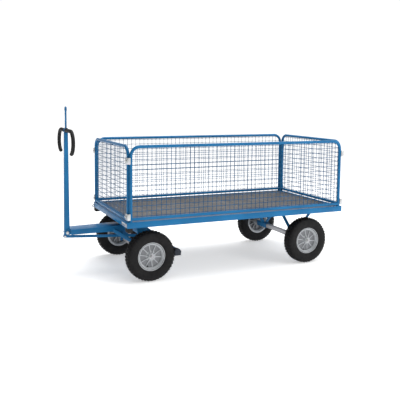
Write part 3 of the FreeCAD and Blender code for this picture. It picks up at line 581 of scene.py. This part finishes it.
def make_axle_nuts(node):
    """Washer, nut and split pin on each stub."""
    low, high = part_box(node)
    middle = (low + high) / 2
    bm = bmesh.new()
    for side in (-1, 1):
        out = Y * side
        face = Vector((middle.x, side * (high.y - 13.5 * MM), middle.z))
        washer = ((12.6, 0), (17.6, 0), (18.0, 0.5), (18.0, 2.0), (17.4, 2.5), (12.6, 2.5))
        turned(bm, scaled(washer), face, out, X, 40)
        nut = ring_of_points(bm, face + out * 2.5 * MM, out, 15.6 * MM, 6)
        tip = go(bm, nut, out * 8.2 * MM)
        crown = go(bm, tip, out * 1.2 * MM)
        to_axis = Matrix.Translation(-(face + out * 11.9 * MM))
        bmesh.ops.scale(bm, verts=crown, vec=(0.90, 1, 0.90), space=to_axis)
        closed_end(bm, nut)
        closed_end(bm, crown)
        pin = ring_of_points(bm, face + out * 14.2 * MM - X * 17 * MM, X, 1.6 * MM, 8)
        pin_end = go(bm, pin, X * 34 * MM)
        closed_end(bm, pin)
        closed_end(bm, pin_end)
    outward(bm)
    finish_piece(node + "_shape", bm, "zinc", BODY_OF[node], [node], 30)


# ---- mesh walls ------------------------------------------------------
def wall_axes(name):
    """Middle of the wall's plane, its long direction and its outward side."""
    low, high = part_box("frame_" + name)
    middle = (low + high) / 2
    if name in ("right", "left"):
        return Vector((middle.x, middle.y, 0)), X, (high.x - low.x) / 2, Y * math.copysign(1, middle.y)
    return Vector((middle.x, 0, 0)), Y, (high.y - low.y) / 2, X * math.copysign(1, middle.x)


WALL_TUBE = 12.5 * MM
WALL_BEND = 72 * MM
WALL_RAIL_Z = 513 * MM
WALL_FOOT_Z = 492.4 * MM
WIRE_PITCH = 40 * MM
WIRE_RADIUS = 2.0 * MM


def make_wall_frame(name):
    origin, along, half, out = wall_axes(name)
    low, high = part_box("frame_" + name)
    reach = half - WALL_TUBE
    top = high.z - WALL_TUBE
    base = WALL_FOOT_Z
    bm = bmesh.new()
    first = ring_of_points(bm, origin - along * reach + Z * base, Z, WALL_TUBE, 20)
    ends = [first]
    here = go(bm, first, Z * (top - WALL_BEND - base))
    sense = along.cross(Z).normalized()
    straight = reach - WALL_BEND
    bend_line = origin + Z * (top - WALL_BEND)
    here = turn(bm, here, bend_line - along * straight, -sense, math.pi / 2, 12)
    here = go(bm, here, along * 2 * straight)
    here = turn(bm, here, bend_line + along * straight, -sense, math.pi / 2, 12)
    here = go(bm, here, Z * -(top - WALL_BEND - base))
    ends.append(here)
    for verts in ends:
        closed_end(bm, verts)
    rail_start = origin - along * (reach - 4 * MM) + Z * WALL_RAIL_Z
    rail = ring_of_points(bm, rail_start, along, WALL_TUBE - 0.2 * MM, 20)
    rail_end = go(bm, rail, along * 2 * (reach - 4 * MM))
    closed_end(bm, rail)
    closed_end(bm, rail_end)
    for side in (-1, 1):
        foot = origin + along * side * reach
        plug = ring_of_points(bm, foot + Z * (base + 1 * MM), Z, 7 * MM, 16)
        neck = go(bm, plug, Z * -(34 * MM))
        tip = go(bm, neck, Z * (-4.2 * MM))
        bmesh.ops.scale(bm, verts=tip, vec=(0.6, 0.6, 1), space=Matrix.Translation(-foot))
        closed_end(bm, plug)
        closed_end(bm, tip)
    outward(bm)
    finish_piece("frame_" + name + "_tube", bm, "blue_paint", "wall_" + name, ["frame_" + name], 50)
    paths = []
    for side in (-1, 1):
        path = []
        for k in range(28):
            a = 2 * math.pi * k / 28
            across = (WALL_TUBE + 0.2 * MM) * math.sin(a)
            rise = (WALL_TUBE + 0.2 * MM) * math.cos(a)
            inwards = reach - abs(rise) - 0.4 * MM
            path.append(origin + along * side * inwards + out * across + Z * (WALL_RAIL_Z + rise))
        paths.append(path)
    bead("weld_" + name, paths, 1.7 * MM, "wall_" + name)


def make_wall_mesh(name):
    """Two layers of round wire, welded where they cross and to the tube."""
    origin, along, half, out = wall_axes(name)
    box_low, box_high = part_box("mesh_" + name)
    low, top = box_low.z, box_high.z
    edge = half - 2 * WALL_TUBE
    bend = WALL_BEND - WALL_TUBE
    pitch = WIRE_PITCH
    sink = 3 * MM
    rows = math.ceil((top - low) / pitch)
    rows = rows + 1 if rows % 2 == 0 else rows
    z_start = (low + top - rows * pitch) / 2
    bm = bmesh.new()

    def wire(start, stop):
        first = ring_of_points(bm, start, (stop - start).normalized(), WIRE_RADIUS, 8)
        last = go(bm, first, stop - start)
        closed_end(bm, first)
        closed_end(bm, last)

    columns = math.ceil(edge / pitch)
    for i in range(-columns, columns + 1):
        s = i * pitch
        if abs(s) > edge - 3 * MM:
            continue
        past = max(0.0, abs(s) - (edge - bend))
        height = top - bend + math.sqrt(bend * bend - past * past)
        at = origin + along * s + out * 1.7 * MM
        wire(at + Z * (low - sink), at + Z * (height + sink))
    for k in range(rows + 1):
        z = z_start + k * pitch
        if not low + 3 * MM < z < top - 3 * MM:
            continue
        past = max(0.0, z - (top - bend))
        reach = edge - bend + math.sqrt(bend * bend - past * past) + sink
        at = origin - out * 1.7 * MM + Z * z
        wire(at - along * reach, at + along * reach)
    outward(bm)
    finish_piece("mesh_" + name + "_wires", bm, "mesh_paint", "wall_" + name, ["mesh_" + name], 50)


# ---- drawbar head ----------------------------------------------------
def horn_centre():
    low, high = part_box("horn_tube")
    return Vector(((low.x + high.x) / 2, 0, high.z - 11 * MM))


HORN_REACH = 172 * MM
HORN_BEND = 90 * MM


def make_horn():
    top = horn_centre()
    bm = bmesh.new()
    for side in (-1, 1):
        first = ring_of_points(bm, top, Y, 11 * MM, 20)
        here = go(bm, first, Y * side * HORN_REACH)
        centre = top + Y * side * HORN_REACH - Z * HORN_BEND
        here = turn(bm, here, centre, X * -side, math.radians(165), 24)
        closed_end(bm, here)
    outward(bm)
    finish_piece("horn_tube_shape", bm, "blue_paint", "drawbar", ["horn_tube"], 50)
    welds = [around(top + Y * side * 15 * MM, Y, 11.6 * MM, 22) for side in (-1, 1)]
    bead("weld_horn", welds, 1.8 * MM, "drawbar")


def make_grip(node, side):
    """Ribbed rubber grip with a flange at its inner end and a domed tip."""
    top = horn_centre()
    centre = top + Y * side * HORN_REACH - Z * HORN_BEND
    start = 26 * MM
    straight = HORN_REACH - start
    sweep = math.radians(170)
    total = straight + HORN_BEND * sweep
    steps = 132
    bm = bmesh.new()
    previous = None
    for k in range(steps + 1):
        share = k / steps
        r = 15.35 if k % 3 == 1 else 14.85
        if share < 0.02:
            r = 15.4 if k == 0 else 18.5
        elif share > 0.965:
            r = 15.0 * math.sqrt(max(0.06, 1 - ((share - 0.965) / 0.035) ** 2 * 0.94))
        run = total * share
        a = max(0.0, (run - straight) / HORN_BEND)
        spot = centre + (Z * math.cos(a) + Y * side * math.sin(a)) * HORN_BEND
        if run < straight:
            spot = top + Y * side * (start + run)
        heading = (Y * side * math.cos(a) - Z * math.sin(a)).normalized()
        made = bmesh.ops.create_circle(bm, segments=20, radius=r * MM)["verts"]
        basis = Matrix((X, heading.cross(X), heading)).transposed().to_4x4()
        bmesh.ops.transform(bm, matrix=Matrix.Translation(spot) @ basis, verts=made)
        if previous is None:
            closed_end(bm, made)
        else:
            bmesh.ops.bridge_loops(bm, edges=edges_between(previous) + edges_between(made))
        previous = made
    closed_end(bm, previous)
    outward(bm)
    finish_piece(node + "_shape", bm, "black_rubber", "drawbar", [node], 60)


# ---- small fittings --------------------------------------------------
def make_beads():
    """Welds at the frame mitres, struts, tongue and post."""
    low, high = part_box("rail_right")
    left_low, left_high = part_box("rail_left")
    paths = []
    for x in (low.x, high.x):
        for y, inward in ((low.y, 1), (left_high.y, -1)):
            away = 1 if x < 0 else -1
            inner = Vector((away, inward, 0)) * MM
            corner = Vector((x, y, high.z + 0.1 * MM))
            paths.append(seam(corner + inner, corner + inner * 34))
            foot = Vector((x, y, low.z + 2 * MM)) + inner * 0.3
            paths.append(seam(foot, Vector((foot.x, foot.y, high.z - 2 * MM))))
    bead("weld_corners", paths, 0.9 * MM, "platform", closed=False)
    low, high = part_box("rear_axle_sleeves")
    s_low, s_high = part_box("rear_struts")
    middle = (low.x + high.x) / 2
    paths = []
    for side in (-1, 1):
        for face in (s_high.y - 8 * MM, s_high.y):
            for a in (-33, 1):
                start = Vector((middle + a * MM, side * face, high.z))
                paths.append(seam(start, start + X * 32 * MM))
            for x in (s_low.x, s_high.x - 32 * MM):
                start = Vector((x, side * face, s_high.z))
                paths.append(seam(start, start + X * 32 * MM))
    bead("weld_struts", paths, 2.4 * MM, "platform", closed=False)
    low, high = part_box("drawbar_post")
    eye_low, eye_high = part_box("tow_eye")
    middle = Vector(((eye_low.x + eye_high.x) / 2, 0, high.z + 0.5 * MM))
    half = X * 6.5 * MM, Y * 11.5 * MM
    corners = [middle + half[0] * a + half[1] * b for a, b in ((-1, -1), (1, -1), (1, 1), (-1, 1))]
    loop = [p for k in range(4) for p in seam(corners[k], corners[(k + 1) % 4])[:-1]]
    bead("weld_eye", [loop], 2.0 * MM, "drawbar")
    beam_low, beam_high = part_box("bogie_beam")
    tongue_low, tongue_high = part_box("tongue")
    paths = []
    for side in (-1, 1):
        y = side * beam_high.y
        paths.append(seam(Vector((beam_low.x, y, beam_low.z)), Vector((beam_high.x, y, beam_low.z))))
        for x in (beam_low.x, beam_high.x):
            paths.append(seam(Vector((x, y, beam_low.z)), Vector((x, y, beam_high.z))))
        edge = side * (tongue_high.y + 0.6 * MM)
        paths.append(seam(Vector((beam_low.x, edge, 0.338)), Vector((beam_low.x, edge, 0.383))))
    bead("weld_bogie", paths, 2.6 * MM, "bogie", closed=False)


def make_split_pins():
    """A split pin with its eye, through the nut end of the pivot bolt."""
    bm = bmesh.new()
    low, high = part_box("pivot_bolt")
    middle = (low + high) / 2
    spot = Vector((middle.x, high.y - 1.5 * MM, middle.z))
    length = 24 * MM
    pin = ring_of_points(bm, spot - Z * length / 2, Z, 1.5 * MM, 8)
    end = go(bm, pin, Z * length)
    closed_end(bm, pin)
    closed_end(bm, end)
    eye = ((2.0, -1.4), (4.6, -1.4), (4.6, 1.4), (2.0, 1.4))
    turned(bm, scaled(eye), spot + Z * (length / 2 + 3 * MM), Y, X, 14)
    outward(bm)
    finish_piece("pivot_split_pin", bm, "zinc", "bogie", sharp=40)


SCREW_ROWS = (-892, -692, -250, 134, 518, 878)
SCREW_COLUMNS = (-0.42, -0.14, 0.14, 0.42)


def make_deck_screws():
    """Sunk heads with a round recess, just below the face of the board."""
    low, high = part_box("deck_screws")
    bm = bmesh.new()
    first = SCREW_ROWS[0]
    for row in SCREW_ROWS:
        for y in SCREW_COLUMNS:
            spot = Vector((low.x + 5 * MM + (row - first) * MM, y, high.z))
            rim = ring_of_points(bm, spot - Z * 1.4 * MM, Z, 4.7 * MM, 12)
            upper = go(bm, rim, Z * 1.4 * MM)
            face = bmesh.ops.contextual_create(bm, geom=edges_between(upper))["faces"]
            bmesh.ops.inset_region(bm, faces=face, thickness=1.9 * MM)
            bmesh.ops.translate(bm, verts=face[0].verts[:], vec=Z * -0.9 * MM)
            closed_end(bm, rim)
    outward(bm)
    finish_piece("deck_screws_shape", bm, "zinc", "platform", ["deck_screws"], 30)


# ---- build -----------------------------------------------------------
for wheel_name, wheel_side in WHEELS.items():
    make_tyre(wheel_name, wheel_side)
    make_rim(wheel_name, wheel_side)
make_axle_nuts("front_axle_nuts")
make_axle_nuts("rear_axle_nuts")
for wall_name in WALLS:
    make_wall_frame(wall_name)
    make_wall_mesh(wall_name)
make_horn()
make_grip("grip_left", 1)
make_grip("grip_right", -1)
make_deck_screws()
make_beads()
make_split_pins()
EDGE_WIDTHS = {
    "rail_right": 1.6, "rail_left": 1.6, "rail_front": 1.6, "rail_rear": 1.6, "cross_members": 1.0,
    "turntable_upper": 1.0, "turntable_lower": 1.0, "slide_ring": 0.6, "bogie_beam": 2.0,
    "bogie_cheeks": 1.0, "tongue": 1.2, "bogie_braces": 1.2, "brake_brackets": 1.0,
    "brake_shaft": 0.8, "brake_shoes": 2.2, "brake_rod": 1.2, "rod_pin": 0.8, "pivot_bolt": 1.0,
    "king_bolt": 1.2, "front_axle": 1.5, "rear_axle": 1.5, "rear_axle_sleeves": 1.8,
    "rear_struts": 1.2, "drawbar_post": 2.4, "tow_eye": 1.8, "clips_front": 0.9, "clips_rear": 0.9,
    "clip_bolts_front": 0.8, "clip_bolts_rear": 0.8, "corner_buffers": 1.5, "data_plate": 0.4,
    "lashing_eye": 1.0, "wall_sockets": 0.4, "deck_board": 0.6}
for node_name, edge_width in EDGE_WIDTHS.items():
    softened(node_name, edge_width * MM)
for node_name, node in frame["nodes"].items():
    node.data.materials.clear()
    node.data.materials.append(FINISHES[SLOT_OF[node_name]])


# ---- floor and light -------------------------------------------------
def make_floor():
    f = Finish("pale_floor", 0.9)
    f.link(f.ramp(f.noise(1.2, 3), [(0.3, 0.93), (0.7, 0.96)]), "Base Color")
    f.set("Specular IOR Level", 0.1)
    f.set("Emission Color", (1, 1, 1, 1))
    f.set("Emission Strength", 0.44)
    bm = bmesh.new()
    bmesh.ops.create_grid(bm, x_segments=1, y_segments=1, size=400)
    mesh = bpy.data.meshes.new("floor")
    bm.to_mesh(mesh)
    bm.free()
    floor = bpy.data.objects.new("floor", mesh)
    bpy.context.scene.collection.objects.link(floor)
    mesh.materials.append(f.material)


def make_light(name, place, aim, size, power, tint=(1, 1, 1)):
    data = bpy.data.lights.new(name, "AREA")
    data.shape = "RECTANGLE"
    data.size, data.size_y = size
    data.energy = power
    data.color = tint
    lamp = bpy.data.objects.new(name, data)
    bpy.context.scene.collection.objects.link(lamp)
    heading = (Vector(aim) - Vector(place)).normalized()
    lamp.matrix_world = Matrix.Translation(place) @ heading.to_track_quat("-Z", "Y").to_matrix().to_4x4()


def make_studio():
    """White surround; a grey flag at the drawbar end keeps the end faces deep in tone."""
    world = bpy.data.worlds.new("studio")
    world.use_nodes = True
    nodes, links = world.node_tree.nodes, world.node_tree.links
    heading = nodes.new("ShaderNodeSeparateXYZ")
    links.new(nodes.new("ShaderNodeTexCoord").outputs["Generated"], heading.inputs["Vector"])
    flag = nodes.new("ShaderNodeMapRange")
    flag.interpolation_type = "SMOOTHSTEP"
    for socket, number in (("From Min", -0.30), ("From Max", 0.05), ("To Min", 0.30), ("To Max", 1.02)):
        flag.inputs[socket].default_value = number
    links.new(heading.outputs["X"], flag.inputs["Value"])
    seen = nodes.new("ShaderNodeMix")
    links.new(nodes.new("ShaderNodeLightPath").outputs["Is Camera Ray"], seen.inputs["Factor"])
    links.new(flag.outputs["Result"], seen.inputs["A"])
    seen.inputs["B"].default_value = 1.02
    links.new(seen.outputs["Result"], nodes["Background"].inputs["Strength"])
    nodes["Background"].inputs["Color"].default_value = (1, 1, 1, 1)
    bpy.context.scene.world = world


make_floor()
make_light("overhead_softbox", (0.8, 0.6, 5.0), (0.1, 0, 0.3), (5.0, 4.0), 190)
make_light("right_softbox", (3.6, -4.4, 3.0), (0.2, 0, 0.5), (1.6, 1.4), 45)
make_studio()
